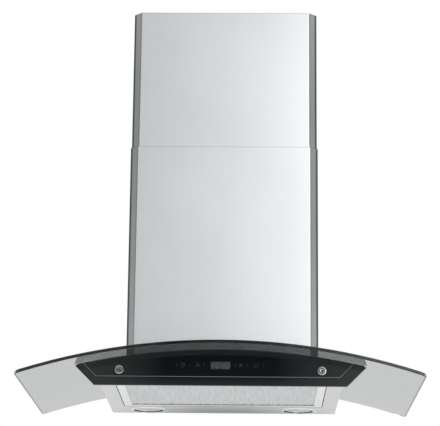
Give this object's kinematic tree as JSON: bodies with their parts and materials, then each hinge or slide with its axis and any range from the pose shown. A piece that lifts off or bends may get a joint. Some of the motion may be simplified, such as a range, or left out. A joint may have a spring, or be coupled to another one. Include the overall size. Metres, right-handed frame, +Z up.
{
  "type": "curved glass range hood",
  "caption": "Wall range hood: arched grey glass canopy over a slim steel body with a black glass touch panel, mesh filter, round lamps and a telescopic duct cover.",
  "frame": {"origin": "on the wall plane, on the centre line, at the underside of the steel body", "axes": "+X to the right seen from the front, +Y into the wall, +Z up"},
  "size_m": [0.76, 0.5, 0.7995],
  "materials": {
    "body_steel": "brushed stainless steel, fine straight grain",
    "duct_steel": "satin brushed stainless steel, very fine upright grain",
    "grey_glass": "clear grey tinted toughened glass with dark polished edges",
    "black_glass": "glossy toughened glass, printed black on the back",
    "display_grey": "smoked display window",
    "black_rubber": "matte black rubber",
    "bright_chrome": "polished chrome",
    "plain_aluminium": "plain turned aluminium",
    "black_plastic": "fine textured black plastic",
    "board_green": "green circuit board",
    "frosted_glass": "frosted lamp glass",
    "filter_aluminium": "bright rolled aluminium frame and expanded mesh",
    "zinc_steel": "zinc-coated sheet steel",
    "plain_steel": "ground steel",
    "motor_metal": "dark lacquered motor can",
    "flap_aluminium": "thin aluminium sheet",
    "white_plastic": "white moulded plastic"
  },
  "bodies": {
    "hood": {"hood_body": "body_steel", "top_plate": "body_steel", "lower_duct_cover": "duct_steel", "glass_canopy": "grey_glass", "front_glass_panel": "black_glass", "display_window": "display_grey", "glass_gasket": "black_rubber", "bolt_washers": "black_rubber", "glass_bolts": "bright_chrome", "panel_screws": "bright_chrome", "panel_standoffs": "plain_aluminium", "control_housing": "black_plastic", "touch_board": "board_green", "display_module": "black_plastic", "lamp_left_bezel": "bright_chrome", "lamp_right_bezel": "bright_chrome", "lamp_left_lens": "frosted_glass", "lamp_right_lens": "frosted_glass", "lamp_left_housing": "plain_aluminium", "lamp_right_housing": "plain_aluminium", "filter_pivots": "zinc_steel", "cover_brackets": "zinc_steel", "cover_screws": "zinc_steel", "blower_box": "zinc_steel", "blower_scroll": "black_plastic", "scroll_side_left": "black_plastic", "scroll_side_right": "black_plastic", "inlet_rings": "black_plastic", "fan_motor": "motor_metal", "motor_bracket": "zinc_steel", "exhaust_collar": "black_plastic", "exhaust_collar_ring": "zinc_steel", "damper_pins": "plain_steel", "electrical_box": "zinc_steel", "electrical_box_lid": "zinc_steel", "terminal_block": "white_plastic", "cable_gland": "black_plastic", "lamp_driver": "white_plastic", "fan_capacitor": "white_plastic", "capacitor_clip": "zinc_steel", "wall_bracket": "zinc_steel"},
    "upper_duct": {"upper_duct_cover": "duct_steel", "ceiling_bracket": "zinc_steel", "ceiling_screws": "zinc_steel"},
    "filter": {"filter_frame": "filter_aluminium", "filter_mesh": "filter_aluminium", "filter_pins": "zinc_steel", "latch_spring": "zinc_steel"},
    "latch": {"latch_slide": "black_plastic"},
    "fan_wheel": {"impeller": "black_plastic", "impeller_blades": "black_plastic", "impeller_rings": "black_plastic", "motor_shaft": "plain_steel"},
    "left_flap": {"damper_left": "flap_aluminium"},
    "right_flap": {"damper_right": "flap_aluminium"}
  },
  "joints": [
    {"name": "duct_telescope", "type": "slide", "parent": "hood", "child": "upper_duct", "axis": [0, 0, 1], "range_m": [-0.28, 0.08]},
    {"name": "filter_swing", "type": "hinge", "parent": "hood", "child": "filter", "pos_m": [0, -0.0955, 0.0037], "axis": [1, 0, 0], "range_deg": [0, 75]},
    {"name": "latch_release", "type": "slide", "parent": "filter", "child": "latch", "axis": [0, 1, 0], "range_m": [0, 0.006], "stiffness_N_per_m": 400, "springref_m": -0.002, "deforming": ["latch_spring"]},
    {"name": "impeller_spin", "type": "hinge", "parent": "hood", "child": "fan_wheel", "pos_m": [0, -0.176, 0.152], "axis": [1, 0, 0], "continuous": true},
    {"name": "damper_left_swing", "type": "hinge", "parent": "hood", "child": "left_flap", "pos_m": [-0.0038, -0.135, 0.2671], "axis": [0, 1, 0], "range_deg": [0, 75]},
    {"name": "damper_right_swing", "type": "hinge", "parent": "hood", "child": "right_flap", "pos_m": [0.0038, -0.135, 0.2671], "axis": [0, -1, 0], "range_deg": [0, 75]}
  ]
}
